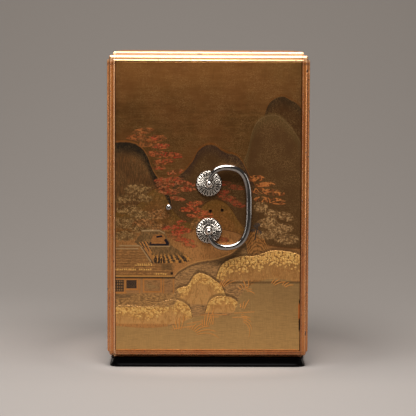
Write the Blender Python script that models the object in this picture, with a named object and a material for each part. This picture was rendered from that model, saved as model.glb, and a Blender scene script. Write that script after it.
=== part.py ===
# Small lacquer cabinet with a lift-out front, a silver bail handle and a low black plinth.
# Metres, +Z up. The front faces -Y. The origin is the middle of the plinth's underside.
from math import asin, atan2, cos, pi, sin, tau

import bmesh
import bpy
from mathutils import Matrix, Vector

for old in list(bpy.data.objects):
    bpy.data.objects.remove(old, do_unlink=True)

# General
FIT = 0.0003                 # gap left between pieces that touch
CUTTER_OVERRUN = 0.010       # how far a cutter runs past what it cuts

# Front panel, which drives the cabinet's width and height
PANEL_WIDTH = 0.186
PANEL_HEIGHT = 0.2905
PANEL_THICKNESS = 0.0075
PANEL_RECESS = 0.0008        # panel face behind the cabinet's front plane
PANEL_ARRIS = 0.0008         # rounding of the panel's front edges
TONGUE_HEIGHT = 0.0025
TONGUE_THICKNESS = 0.0030

# Carcase
CARCASE_DEPTH = 0.215
SIDE_REACH = 0.0085          # moulding's reach from a side, front or back face
TOP_REACH = 0.0100
BOTTOM_REACH = 0.0080
FILLET_WIDTH = 0.0021        # small rounded fillets at both ends of the moulding
FILLET_DEPTH = 0.0018
TOP_RISER = 0.0033           # the fillet under the top face is taller than the others
FILLET_SEGMENTS = 3
BEAD_SEGMENTS = 8
REBATE = 0.0025              # ledge that the panel lies against
BACK_THICKNESS = 0.0080

# Plinth
PLINTH_HEIGHT = 0.0090
PLINTH_LIP_INSET = 0.0040    # from the carcase's side faces to the lip
PLINTH_WAIST = 0.0016        # how far the waist falls behind the lip
PLINTH_FLARE = 0.0014        # how far the foot stands out past the lip
PLINTH_LIP_HEIGHT = 0.0018
PLINTH_FOOT_HEIGHT = 0.0012
PLINTH_CORNER = 0.0090
PLINTH_CORNER_SEGMENTS = 6
PLINTH_CURVE_SEGMENTS = 6

# Rosettes and posts
HANDLE_OFFSET = 0.0008       # handle axis right of the panel's middle
EYE_SPACING = 0.0475         # between the two posts
ROSETTE_RADIUS = 0.0131
ROSETTE_HEIGHT = 0.0046
ROSETTE_RIM = 0.0013
ROSETTE_HUB_RADIUS = 0.0042
PETALS = 18
PETAL_GROOVE = 0.0011        # depth of the grooves between petals
PETAL_SCALLOP = 0.0009       # how far the rim pulls in between petals
STEPS_PER_PETAL = 4
PETAL_RINGS = 5
DOME_FULLNESS = 0.8          # lower is fuller
GROOVE_ONSET = 1.4           # higher brings the grooves to full depth nearer the hub
SHANK_RADIUS = 0.0015
COLLAR_RADIUS = 0.0027
COLLAR_HEIGHT = 0.0008
KNOB_RADIUS = 0.00335
RIVET_RADIUS = 0.0030
RIVET_HEIGHT = 0.0012
TURNED_SEGMENTS = 24

# Bail
BAIL_REACH = 0.0403          # axis to the middle of the bar
BAIL_RISE = 0.0164           # top of the bow above the upper eye
BAIL_END_RADIUS = 0.0016
BAIL_BOW_RADIUS = 0.0032
BAIL_BAR_RADIUS = 0.0033
BAIL_TIP = 0.0012            # how far each tip comes out of its eye
BAIL_SIDES = 12
BAIL_STEPS = 13              # rings between two of the bail's guide points
TIP_STEPS = 3
BOW_TOP = 0.42               # the rest are shares that shape the bow: of the reach
BOW_LEAN = 0.05
BOW_LEAD = 0.17
BOW_SHOULDER = 0.85
BAR_BULGE = 1.02
BOW_LIFT = 0.36              # of the rise
BAR_SHOULDER = 0.75          # of the bow's height
BAIL_REST_GAP = 0.0004       # bar to panel as the bail lies at rest

# Rest stud
STUD_BALL_RADIUS = 0.0034
STUD_NECK = 0.0004           # clear height under the ball
STUD_SHANK_RADIUS = 0.0012
STUD_SHANK_LENGTH = 0.0050

# Pin holes in the panel
PIN_HOLE_RADIUS = 0.00115
PIN_HOLE_DEPTH = 0.0040
PIN_HOLES = ((0.0024, -0.0041), (0.0140, -0.0032))   # x from the panel's middle, z from the handle's

# Worked out from the sizes above
OPENING_WIDTH = PANEL_WIDTH + 2 * FIT
HALF_WIDTH = PANEL_WIDTH / 2 + SIDE_REACH
HALF_DEPTH = CARCASE_DEPTH / 2
CARCASE_BOTTOM = PLINTH_HEIGHT + FIT
PANEL_BOTTOM = CARCASE_BOTTOM + BOTTOM_REACH
PANEL_TOP = PANEL_BOTTOM + PANEL_HEIGHT
CARCASE_TOP = PANEL_TOP + TOP_REACH
PANEL_FACE = -HALF_DEPTH + PANEL_RECESS
PANEL_BACK = PANEL_FACE + PANEL_THICKNESS
HANDLE_Z = (PANEL_BOTTOM + PANEL_TOP) / 2
ROSETTE_BACK = PANEL_FACE - FIT
COLLAR_BACK = ROSETTE_BACK - ROSETTE_HEIGHT - FIT
KNOB_SINK = KNOB_RADIUS - (KNOB_RADIUS ** 2 - SHANK_RADIUS ** 2) ** 0.5
AXIS_Y = COLLAR_BACK - COLLAR_HEIGHT - KNOB_RADIUS + KNOB_SINK
AXIS_HEIGHT = PANEL_FACE - AXIS_Y
EYE_HOLE_RADIUS = BAIL_END_RADIUS + FIT
EYE_RIM = (KNOB_RADIUS ** 2 - EYE_HOLE_RADIUS ** 2) ** 0.5
REST_ANGLE = asin((AXIS_HEIGHT - BAIL_BAR_RADIUS - BAIL_REST_GAP) / BAIL_REACH)


def material(name, color, metallic, roughness):
    made = bpy.data.materials.new(name)
    made.use_nodes = True
    shader = made.node_tree.nodes["Principled BSDF"]
    shader.inputs["Base Color"].default_value = (*color, 1)
    shader.inputs["Metallic"].default_value = metallic
    shader.inputs["Roughness"].default_value = roughness
    return made


GOLD_LACQUER = material("gold lacquer", (0.30, 0.15, 0.05), 0.8, 0.35)
PICTURE_LACQUER = material("picture lacquer", (0.22, 0.11, 0.04), 0.7, 0.35)
BLACK_LACQUER = material("black lacquer", (0.008, 0.007, 0.006), 0.0, 0.15)
SILVER = material("silver", (0.62, 0.60, 0.57), 1.0, 0.25)


def add_object(name, mesh, slot, smooth_angle=None):
    made = bpy.data.objects.new(name, mesh)
    bpy.context.collection.objects.link(made)
    mesh.materials.append(slot)
    if smooth_angle:
        mesh.shade_smooth()
        mesh.set_sharp_from_angle(angle=smooth_angle)
    return made


def mesh_from(name, bm):
    bmesh.ops.recalc_face_normals(bm, faces=bm.faces)
    mesh = bpy.data.meshes.new(name)
    bm.to_mesh(mesh)
    bm.free()
    return mesh


def prism(name, outline, place, low, high):
    """Extrude a flat outline from low to high; place(a, b, t) gives a point in space."""
    bm = bmesh.new()
    face = bm.faces.new([bm.verts.new(place(a, b, low)) for a, b in outline])
    push = Vector(place(0, 0, high)) - Vector(place(0, 0, low))
    raised = bmesh.ops.extrude_face_region(bm, geom=[face])["geom"]
    bmesh.ops.translate(bm, verts=[v for v in raised if isinstance(v, bmesh.types.BMVert)], vec=push)
    return mesh_from(name, bm)


def box_mesh(name, low, high):
    bm = bmesh.new()
    size = Vector(high) - Vector(low)
    middle = (Vector(high) + Vector(low)) / 2
    bmesh.ops.create_cube(bm, size=1, matrix=Matrix.Translation(middle) @ Matrix.Diagonal((*size, 1)))
    return mesh_from(name, bm)


def turned(name, profile):
    """Turn a profile of (radius, depth) about a line along Y; depth grows towards +Y."""
    bm = bmesh.new()
    verts = [bm.verts.new((radius, depth, 0)) for radius, depth in profile]
    edges = [bm.edges.new(pair) for pair in zip(verts, verts[1:])]
    bmesh.ops.spin(bm, geom=verts + edges, axis=(0, 1, 0), cent=(0, 0, 0), angle=tau,
                   steps=TURNED_SEGMENTS, use_merge=True)
    bmesh.ops.remove_doubles(bm, verts=bm.verts, dist=0.000001)
    return mesh_from(name, bm)


def cylinder_cutter(name, radius, low, high, at=(0, 0, 0), along="Y"):
    """A cylinder from low to high along Y or Z, placed at a point."""
    turn = Matrix.Rotation(-pi / 2, 4, "X") if along == "Y" else Matrix.Identity(4)
    middle = Vector((0, (low + high) / 2, 0)) if along == "Y" else Vector((0, 0, (low + high) / 2))
    bm = bmesh.new()
    bmesh.ops.create_cone(bm, cap_ends=True, segments=TURNED_SEGMENTS, radius1=radius, radius2=radius,
                          depth=high - low, matrix=Matrix.Translation(Vector(at) + middle) @ turn)
    return cutter(name, mesh_from(name, bm))


def cutter(name, mesh):
    made = bpy.data.objects.new(name, mesh)
    bpy.context.collection.objects.link(made)
    made.display_type = "WIRE"
    made.hide_render = True
    return made


def combine(target, tool, operation):
    boolean = target.modifiers.new(tool.name, "BOOLEAN")
    boolean.operation = operation
    boolean.object = tool
    boolean.solver = "EXACT"


def moulded_corner(reach_a, reach_b, riser_a, riser_b):
    """Points of the edge moulding in one corner, as distances in from the two faces.

    A small rounded fillet, a quarter-round bead, and a second fillet. riser_a and riser_b say
    how far the bead lies behind the faces that a and b are measured from.
    """
    bead_a = reach_a - FILLET_WIDTH
    bead_b = reach_b - FILLET_WIDTH
    points = []
    for step in range(FILLET_SEGMENTS + 1):
        turn = pi / 2 * step / FILLET_SEGMENTS
        points.append((reach_a - FILLET_WIDTH * sin(turn), riser_b * (1 - cos(turn))))
    for step in range(1, BEAD_SEGMENTS + 1):
        turn = pi / 2 * step / BEAD_SEGMENTS
        points.append((bead_a - (bead_a - riser_a) * sin(turn), bead_b - (bead_b - riser_b) * cos(turn)))
    for step in range(FILLET_SEGMENTS - 1, -1, -1):
        turn = pi / 2 * step / FILLET_SEGMENTS
        points.append((riser_a * (1 - cos(turn)), reach_b - FILLET_WIDTH * sin(turn)))
    return points


def moulded_section(half_a, low_b, high_b, low_reach, high_reach, high_riser):
    """Outline of a section with a moulded corner at each end of a and b."""
    low = moulded_corner(SIDE_REACH, low_reach, FILLET_DEPTH, FILLET_DEPTH)
    high = moulded_corner(SIDE_REACH, high_reach, FILLET_DEPTH, high_riser)
    outline = [(half_a - a, low_b + b) for a, b in low]
    outline += [(half_a - a, high_b - b) for a, b in reversed(high)]
    outline += [(a - half_a, high_b - b) for a, b in high]
    outline += [(a - half_a, low_b + b) for a, b in reversed(low)]
    return outline


def make_carcase():
    over = CUTTER_OVERRUN
    plan = moulded_section(HALF_WIDTH, -HALF_DEPTH, HALF_DEPTH, SIDE_REACH, SIDE_REACH, FILLET_DEPTH)
    front = moulded_section(HALF_WIDTH, CARCASE_BOTTOM, CARCASE_TOP, BOTTOM_REACH, TOP_REACH, TOP_RISER)
    side = moulded_section(HALF_DEPTH, CARCASE_BOTTOM, CARCASE_TOP, BOTTOM_REACH, TOP_REACH, TOP_RISER)
    body = add_object("carcase", prism("carcase", plan, lambda a, b, t: (a, b, t),
                                       CARCASE_BOTTOM - over, CARCASE_TOP + over), GOLD_LACQUER)
    combine(body, cutter("front form", prism("front form", front, lambda a, b, t: (a, t, b),
                                             -HALF_DEPTH - over, HALF_DEPTH + over)), "INTERSECT")
    combine(body, cutter("side form", prism("side form", side, lambda a, b, t: (t, a, b),
                                            -HALF_WIDTH - over, HALF_WIDTH + over)), "INTERSECT")
    seat = box_mesh("panel seat",
                    (-OPENING_WIDTH / 2, -HALF_DEPTH - over, PANEL_BOTTOM - FIT),
                    (OPENING_WIDTH / 2, PANEL_BACK + FIT, PANEL_TOP + FIT))
    inside = box_mesh("inside",
                      (-OPENING_WIDTH / 2 + REBATE, -HALF_DEPTH, PANEL_BOTTOM - FIT + REBATE),
                      (OPENING_WIDTH / 2 - REBATE, HALF_DEPTH - BACK_THICKNESS, PANEL_TOP + FIT - REBATE))
    groove = box_mesh("tongue groove",
                      (-OPENING_WIDTH / 2, PANEL_BACK - TONGUE_THICKNESS - FIT,
                       PANEL_BOTTOM - TONGUE_HEIGHT - FIT),
                      (OPENING_WIDTH / 2, PANEL_BACK + FIT, PANEL_BOTTOM + REBATE))
    for mesh in (seat, inside, groove):
        combine(body, cutter(mesh.name, mesh), "DIFFERENCE")
    return body


def make_panel():
    """The lift-out front: a board with a tongue along its lower edge."""
    profile = [(PANEL_FACE, PANEL_BOTTOM), (PANEL_BACK - TONGUE_THICKNESS, PANEL_BOTTOM),
               (PANEL_BACK - TONGUE_THICKNESS, PANEL_BOTTOM - TONGUE_HEIGHT),
               (PANEL_BACK, PANEL_BOTTOM - TONGUE_HEIGHT), (PANEL_BACK, PANEL_TOP), (PANEL_FACE, PANEL_TOP)]
    mesh = prism("front_panel", profile, lambda a, b, t: (t, a, b), -PANEL_WIDTH / 2, PANEL_WIDTH / 2)
    bm = bmesh.new()
    bm.from_mesh(mesh)
    face_edges = [e for e in bm.edges if all(abs(v.co.y - PANEL_FACE) < 0.00001 for v in e.verts)]
    bmesh.ops.bevel(bm, geom=face_edges, offset=PANEL_ARRIS, offset_type="OFFSET", segments=2,
                    profile=0.5, affect="EDGES", material=-1)
    bm.to_mesh(mesh)
    bm.free()
    panel = add_object("front_panel", mesh, PICTURE_LACQUER)
    through = (PANEL_FACE - CUTTER_OVERRUN, PANEL_BACK + CUTTER_OVERRUN)
    for side in (1, -1):
        at = (HANDLE_OFFSET, 0, HANDLE_Z + side * EYE_SPACING / 2)
        combine(panel, cylinder_cutter(f"post hole {side}", SHANK_RADIUS + FIT, *through, at), "DIFFERENCE")
    stud_depth = (PANEL_FACE - CUTTER_OVERRUN, PANEL_FACE + STUD_SHANK_LENGTH + FIT)
    stud_at = (HANDLE_OFFSET - BAIL_REACH, 0, HANDLE_Z)
    combine(panel, cylinder_cutter("stud hole", STUD_SHANK_RADIUS + FIT, *stud_depth, stud_at), "DIFFERENCE")
    for number, (x, z) in enumerate(PIN_HOLES):
        depth = (PANEL_FACE - CUTTER_OVERRUN, PANEL_FACE + PIN_HOLE_DEPTH)
        pin = cylinder_cutter(f"pin hole {number}", PIN_HOLE_RADIUS, *depth, (x, 0, HANDLE_Z + z))
        combine(panel, pin, "DIFFERENCE")
    return panel


def rounded_rectangle(half_x, half_y, radius, z):
    points = []
    for quarter, (sx, sy) in enumerate(((1, 1), (-1, 1), (-1, -1), (1, -1))):
        for step in range(PLINTH_CORNER_SEGMENTS + 1):
            turn = pi / 2 * (quarter + step / PLINTH_CORNER_SEGMENTS)
            points.append((sx * (half_x - radius) + radius * cos(turn),
                           sy * (half_y - radius) + radius * sin(turn), z))
    return points


def loft(name, rings, slot, smooth_angle):
    """Skin closed rings of equal length and cap both ends."""
    bm = bmesh.new()
    rows = [[bm.verts.new(point) for point in ring] for ring in rings]
    for lower, upper in zip(rows, rows[1:]):
        for i in range(len(lower)):
            j = (i + 1) % len(lower)
            bm.faces.new((lower[i], lower[j], upper[j], upper[i]))
    bm.faces.new(reversed(rows[0]))
    bm.faces.new(rows[-1])
    return add_object(name, mesh_from(name, bm), slot, smooth_angle)


def make_plinth():
    """A base board with an upright foot, a hollow flare and a thin lip."""
    curve_height = PLINTH_HEIGHT - PLINTH_LIP_HEIGHT - PLINTH_FOOT_HEIGHT
    levels = [(0, PLINTH_FLARE)]
    for step in range(PLINTH_CURVE_SEGMENTS + 1):
        turn = pi / 2 * step / PLINTH_CURVE_SEGMENTS
        out = PLINTH_FLARE - (PLINTH_FLARE + PLINTH_WAIST) * sin(turn)
        levels.append((PLINTH_FOOT_HEIGHT + curve_height * (1 - cos(turn)), out))
    levels.append((PLINTH_HEIGHT - PLINTH_LIP_HEIGHT / 2, 0))
    levels.append((PLINTH_HEIGHT, 0))
    rings = []
    for z, out in levels:
        rings.append(rounded_rectangle(HALF_WIDTH - PLINTH_LIP_INSET + out,
                                       HALF_DEPTH - PLINTH_LIP_INSET + out, PLINTH_CORNER + out, z))
    return loft("plinth", rings, BLACK_LACQUER, pi / 6)


def rosette_height(along):
    """Height of the domed face; along runs from 0 at the hub to 1 at the rim."""
    return ROSETTE_RIM + (ROSETTE_HEIGHT - ROSETTE_RIM) * cos(along * pi / 2) ** DOME_FULLNESS


def make_rosette(name, z):
    """A domed disc of ridged petals with a scalloped rim and a hole for the post."""
    hole = SHANK_RADIUS + FIT
    rings = []
    for spoke in range(PETALS * STEPS_PER_PETAL):
        turn = tau * spoke / (PETALS * STEPS_PER_PETAL)
        valley = 0.5 - 0.5 * cos(PETALS * turn)
        section = [(hole, 0), (hole, ROSETTE_HEIGHT), (ROSETTE_HUB_RADIUS, ROSETTE_HEIGHT)]
        rim = ROSETTE_RADIUS - PETAL_SCALLOP * valley
        for ring in range(1, PETAL_RINGS + 1):
            along = ring / PETAL_RINGS
            radius = ROSETTE_HUB_RADIUS + (rim - ROSETTE_HUB_RADIUS) * along
            depth = min(PETAL_GROOVE * valley * sin(min(along * GROOVE_ONSET, 1) * pi / 2),
                        rosette_height(along) - ROSETTE_RIM / 2)
            section.append((radius, rosette_height(along) - depth))
        section.append((rim, 0))
        rings.append([(HANDLE_OFFSET + r * cos(turn), ROSETTE_BACK - h, z + r * sin(turn))
                      for r, h in section])
    bm = bmesh.new()
    rows = [[bm.verts.new(point) for point in ring] for ring in rings]
    for i, row in enumerate(rows):
        following = rows[(i + 1) % len(rows)]
        for j in range(len(row)):
            k = (j + 1) % len(row)
            bm.faces.new((row[j], row[k], following[k], following[j]))
    return add_object(name, mesh_from(name, bm), SILVER)


def make_post(name, z):
    """A pin through rosette and panel: rivet head inside, collar and pierced ball outside."""
    rivet_face = PANEL_BACK + FIT
    collar_front = COLLAR_BACK - COLLAR_HEIGHT
    profile = [(0, rivet_face + RIVET_HEIGHT), (RIVET_RADIUS, rivet_face + RIVET_HEIGHT),
               (RIVET_RADIUS, rivet_face), (SHANK_RADIUS, rivet_face), (SHANK_RADIUS, COLLAR_BACK),
               (COLLAR_RADIUS, COLLAR_BACK), (COLLAR_RADIUS, collar_front)]
    ball_start = atan2(SHANK_RADIUS, collar_front - AXIS_Y)
    ball_steps = TURNED_SEGMENTS // 2
    for step in range(ball_steps + 1):
        turn = ball_start + (pi - ball_start) * step / ball_steps
        radius = max(KNOB_RADIUS * sin(turn), 0) if step < ball_steps else 0
        profile.append((radius, AXIS_Y + KNOB_RADIUS * cos(turn)))
    mesh = turned(name, profile)
    mesh.transform(Matrix.Translation((HANDLE_OFFSET, 0, z)))
    post = add_object(name, mesh, SILVER, pi / 5)
    eye = cylinder_cutter(f"{name} eye", EYE_HOLE_RADIUS, -2 * KNOB_RADIUS, 2 * KNOB_RADIUS,
                          (HANDLE_OFFSET, AXIS_Y, z), "Z")
    combine(post, eye, "DIFFERENCE")
    return post


def make_stud():
    """The small ball that the bail lies on when it is swung to the left."""
    neck_front = PANEL_FACE - FIT - STUD_NECK
    start = asin(STUD_SHANK_RADIUS / STUD_BALL_RADIUS)
    center = neck_front - STUD_BALL_RADIUS * cos(start)
    profile = [(0, PANEL_FACE + STUD_SHANK_LENGTH), (STUD_SHANK_RADIUS, PANEL_FACE + STUD_SHANK_LENGTH)]
    steps = TURNED_SEGMENTS // 2
    for step in range(steps + 1):
        turn = start + (pi - start) * step / steps
        radius = STUD_BALL_RADIUS * sin(turn) if step < steps else 0
        profile.append((radius, center + STUD_BALL_RADIUS * cos(turn)))
    mesh = turned("rest_stud", profile)
    mesh.transform(Matrix.Translation((HANDLE_OFFSET - BAIL_REACH, 0, HANDLE_Z)))
    return add_object("rest_stud", mesh, SILVER, pi / 5)


def bezier(p0, p1, p2, p3, t):
    s = 1 - t
    return s ** 3 * p0 + 3 * s * s * t * p1 + 3 * s * t * t * p2 + t ** 3 * p3


def bail_path():
    """Middle line of the bail from its upper tip to its lower tip, with the radius at each point.

    The upper half is three curves: out of the eye, over the bow and down the slightly bowed bar.
    The lower half mirrors it. x is the reach from the joint's axis.
    """
    eye = EYE_SPACING / 2
    tip = eye - EYE_RIM - BAIL_TIP
    bow = eye + BAIL_RISE
    neck = eye + EYE_RIM + BAIL_END_RADIUS
    middle = Vector((BAIL_REACH, 0))
    bow_top = Vector((BAIL_REACH * BOW_TOP, bow))
    half = [(Vector((0, neck)), Vector((BAIL_REACH * BOW_LEAN, neck + BAIL_RISE * BOW_LIFT)),
             Vector((BAIL_REACH * BOW_LEAD, bow)), bow_top, BAIL_END_RADIUS, BAIL_BOW_RADIUS),
            (bow_top, Vector((BAIL_REACH * BOW_SHOULDER, bow)),
             Vector((BAIL_REACH * BAR_BULGE, bow * BAR_SHOULDER)), middle, BAIL_BOW_RADIUS, BAIL_BAR_RADIUS)]
    points = []
    for step in range(1, TIP_STEPS + 1):
        turn = pi / 2 * step / TIP_STEPS
        points.append((Vector((0, tip + BAIL_END_RADIUS * (1 - cos(turn)))), BAIL_END_RADIUS * sin(turn)))
    for p0, p1, p2, p3, r0, r1 in half:
        for step in range(BAIL_STEPS):
            t = step / BAIL_STEPS
            points.append((bezier(p0, p1, p2, p3, t), r0 + (r1 - r0) * sin(t * pi / 2)))
    lower = [(Vector((point.x, -point.y)), radius) for point, radius in reversed(points)]
    return points + [(middle, BAIL_BAR_RADIUS)] + lower


def make_bail():
    """A tapered round bar bent to a bow, modelled flat and turned to where it rests."""
    path = bail_path()
    rings = []
    for i, (point, radius) in enumerate(path):
        ahead = path[min(i + 1, len(path) - 1)][0]
        behind = path[max(i - 1, 0)][0]
        heading = (ahead - behind).normalized()
        side = Vector((-heading.y, heading.x))
        ring = []
        for step in range(BAIL_SIDES):
            turn = tau * step / BAIL_SIDES
            flat = point + side * radius * cos(turn)
            ring.append((flat.x, radius * sin(turn), flat.y))
        rings.append(ring)
    bail = loft("bail", rings, SILVER, pi / 4)
    bail.location = (HANDLE_OFFSET, AXIS_Y, HANDLE_Z)
    bail.rotation_euler = (0, 0, REST_ANGLE)
    return bail


make_plinth()
make_carcase()
make_panel()
for label, direction in (("upper", 1), ("lower", -1)):
    height = HANDLE_Z + direction * EYE_SPACING / 2
    make_rosette(f"{label}_rosette", height)
    make_post(f"{label}_post", height)
make_stud()
make_bail()
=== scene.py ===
# Small gold lacquer cabinet with a painted lift-out front: the finishes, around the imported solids.
from math import pi, radians, tau

import bmesh
import bpy
from mathutils import Matrix, Vector


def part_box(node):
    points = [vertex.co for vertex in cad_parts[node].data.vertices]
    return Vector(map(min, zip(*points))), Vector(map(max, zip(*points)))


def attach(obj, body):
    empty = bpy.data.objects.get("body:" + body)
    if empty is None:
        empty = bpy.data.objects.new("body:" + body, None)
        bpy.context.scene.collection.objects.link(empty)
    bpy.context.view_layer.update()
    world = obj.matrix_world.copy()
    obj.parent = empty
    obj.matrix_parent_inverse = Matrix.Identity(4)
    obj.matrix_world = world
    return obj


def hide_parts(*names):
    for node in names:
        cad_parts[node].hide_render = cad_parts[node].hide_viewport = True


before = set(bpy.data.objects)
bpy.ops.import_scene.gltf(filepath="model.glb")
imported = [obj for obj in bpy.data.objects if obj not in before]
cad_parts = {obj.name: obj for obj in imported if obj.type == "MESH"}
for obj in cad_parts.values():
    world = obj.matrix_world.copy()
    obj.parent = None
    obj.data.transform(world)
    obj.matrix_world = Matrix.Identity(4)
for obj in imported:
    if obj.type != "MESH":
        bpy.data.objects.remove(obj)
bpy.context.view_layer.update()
print("frame loaded")


def addObject(name, data):
    made = bpy.data.objects.new(name, data)
    bpy.context.scene.collection.objects.link(made)
    return made


def joins(operation):
    # a method that joins a wire to another wire or a number
    return lambda wire, other: wire.calc(operation, other)


class Wire:
    # one output of a node, so that masks and colours can be written as sums

    def __init__(self, tree, socket):
        self.tree = tree
        self.socket = socket

    def out(self, name):
        # another output of the same node
        return Wire(self.tree, self.socket.node.outputs[name])

    def calc(self, operation, *others):
        return addNode(self.tree, "Math", dict(enumerate((self, *others))), operation=operation)

    __add__ = joins("ADD")
    __sub__ = joins("SUBTRACT")
    __mul__ = joins("MULTIPLY")
    __truediv__ = joins("DIVIDE")
    least = joins("MINIMUM")
    most = joins("MAXIMUM")

    def flip(self):
        return self.calc("MULTIPLY_ADD", -1, 1)

    def step(self, start, width):
        # 0 below start, 1 past start + width; a negative width runs the other way
        return addNode(self.tree, "MapRange", {"Value": self, "From Min": start, "From Max": start + width},
            interpolation_type="SMOOTHSTEP", clamp=False)

    def band(self, middle, half, soft):
        # 1 within half of the middle, fading over soft
        shifted = self - middle if middle else self
        return shifted.calc("ABSOLUTE").step(half + soft, -soft)


def linear(level):
    # a colour level as the eye reads it, 0 to 255, made linear
    return level / 255 / 12.92 if level < 10.3 else ((level / 255 + 0.055) / 1.055) ** 2.4


def plug(tree, sockets, values):
    # each value is a wire, a plain value, or a colour in three levels from 0 to 255
    for name, value in values.items():
        if isinstance(value, Wire):
            tree.links.new(value.socket, sockets[name])
        elif sockets[name].type == "RGBA" and len(value) == 3:
            sockets[name].default_value = (*map(linear, value), 1)
        else:
            sockets[name].default_value = value


def addNode(tree, kind, inputs, output=0, **settings):
    node = tree.nodes.new("ShaderNode" + kind)
    for name, value in settings.items():
        setattr(node, name, value)
    plug(tree, node.inputs, inputs)
    return Wire(tree, node.outputs[output])


def makeGroup(name, inputs, outputs):
    # each label has its kind of socket, or the starting value of a number
    group = bpy.data.node_groups.new(name, "ShaderNodeTree")
    for way, labels in (("INPUT", inputs), ("OUTPUT", outputs)):
        for label, start in labels.items():
            kind = start if isinstance(start, str) else "Float"
            socket = group.interface.new_socket(label, in_out=way, socket_type="NodeSocket" + kind)
            if start != kind:
                socket.default_value = start
    entry, ending = (group.nodes.new("NodeGroup" + way) for way in ("Input", "Output"))

    def close(values):
        plug(group, ending.inputs, values)
        return group

    return group, {label: Wire(group, entry.outputs[label]) for label in inputs}, close


def useGroup(tree, group, inputs):
    node = tree.nodes.new("ShaderNodeGroup")
    node.node_tree = group
    plug(tree, node.inputs, inputs)
    return {socket.name: Wire(tree, socket) for socket in node.outputs}


class Surface:
    # a tree of nodes with one set of coordinates and a colour that builds up in layers

    def __init__(self, tree, place, color=None):
        self.tree = tree
        self.place = place
        self.color = color

    def add(self, kind, inputs, output=0, **settings):
        return addNode(self.tree, kind, inputs, output, **settings)

    def mix(self, share, first, second):
        return self.add("Mix", {0: share, 6: first, 7: second}, 2, data_type="RGBA")

    def mixValue(self, share, first, second):
        return self.add("Mix", {0: share, 2: first, 3: second})

    def lay(self, mask, color):
        self.color = self.mix(mask, self.color, color)

    def noise(self, scale, detail=2, roughness=0.5, stretch=None, distortion=0, shift=(0, 0, 0)):
        place = self.place
        if stretch:
            place = self.add("Mapping", {"Vector": place, "Location": shift, "Scale": stretch})
        return self.add("TexNoise", {"Vector": place, "Scale": scale, "Detail": detail,
            "Roughness": roughness, "Distortion": distortion})

    def ball(self, at, reach, turn=0):
        # 1 in the middle of an ellipsoid, falling to 0 at its surface
        near = self.add("Mapping", {"Vector": self.place, "Location": at, "Scale": reach,
            "Rotation": (0, 0, radians(turn))}, vector_type="TEXTURE")
        return self.add("TexGradient", {"Vector": near}, "Fac", gradient_type="SPHERICAL")

    def use(self, group, **inputs):
        # a shared effect, at this surface's own coordinates
        return useGroup(self.tree, group, {"Vector": self.place, **inputs})


class Coat(Surface):
    # a material and its shader

    def __init__(self, name, constants):
        self.made = bpy.data.materials.new(name)
        self.made.use_nodes = True
        tree = self.made.node_tree
        super().__init__(tree, addNode(tree, "TexCoord", {}, "Object"))
        self.shader = tree.nodes["Principled BSDF"]
        self.set(constants)

    def set(self, values):
        plug(self.tree, self.shader.inputs, values)

    def close(self, values, height, relief):
        # relief is the height in metres of a step of 1
        normal = self.add("Bump", {"Height": height, "Distance": relief})
        self.set({"Base Color": self.color, **values, "Normal": normal})
        return self.made


camera = {
    "place": (-0.0157, -1.9528, 0.3296),
    "yaw": 0.484,  # degrees towards +X
    "pitch": 5.202,  # degrees down
    "roll": 0.211,  # degrees clockwise
    "focalPixels": 1850,  # in a picture 416 pixels wide
    "pictureWidth": 416,
    "sensorWidth": 36,
}


def makeCamera(kit):
    data = bpy.data.cameras.new("camera")
    data.sensor_width = kit["sensorWidth"]
    data.lens = kit["focalPixels"] * kit["sensorWidth"] / kit["pictureWidth"]
    made = addObject("camera", data)
    turn = (Matrix.Rotation(radians(-kit["yaw"]), 4, "Z")
            @ Matrix.Rotation(radians(90 - kit["pitch"]), 4, "X")
            @ Matrix.Rotation(radians(kit["roll"]), 4, "Z"))
    made.matrix_world = Matrix.Translation(kit["place"]) @ turn
    bpy.context.scene.camera = made


studio = {
    "halfWidth": 3,
    "front": 0.95,  # floor in front of the cabinet's middle, and behind it
    "back": 0.42,
    "coveRadius": 1,
    "coveSteps": 24,
    "wallHeight": 1.5,
    "paper": (0.262, 0.238, 0.224),
    "pool": 0.25,  # radius of the paper painted lighter round the cabinet, a painted pool of light; farther out the paper is painted darker as shade
    "farPaintedShade": 0.87,
    "nearPaintedLight": 1.18,
    "world": (0.30, 0.28, 0.26),
    "worldStrength": 0.28,
}


def pullEdge(bm, edge, push):
    raised = bmesh.ops.extrude_edge_only(bm, edges=[edge])["geom"]
    corners = [g for g in raised if isinstance(g, bmesh.types.BMVert)]
    bmesh.ops.translate(bm, verts=corners, vec=push)
    return next(g for g in raised if isinstance(g, bmesh.types.BMEdge) and set(g.verts) == set(corners))


def makePaper(kit):
    paper = Coat("pale paper", {"Roughness": 0.8})
    scale = 1 / kit["pool"]
    spot = paper.add("Mapping", {"Vector": paper.place, "Scale": (scale, scale, 0)})
    near = paper.add("TexGradient", {"Vector": spot}, "Fac", gradient_type="SPHERICAL")
    # painted light on the paper: lighter beside the cabinet, darker farther out
    far, close = ([level * kit[shade] for level in kit["paper"]] + [1] for shade in ("farPaintedShade", "nearPaintedLight"))
    paper.set({"Base Color": paper.mix(near.step(0.28, 0.26), far, close)})
    # clear from behind, so that the cabinet's back can be seen
    mixed = paper.add("MixShader", {0: paper.add("NewGeometry", {}, "Backfacing"),
        1: Wire(paper.tree, paper.shader.outputs["BSDF"]), 2: paper.add("BsdfTransparent", {})})
    plug(paper.tree, paper.tree.nodes["Material Output"].inputs, {"Surface": mixed})
    return paper.made


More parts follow.
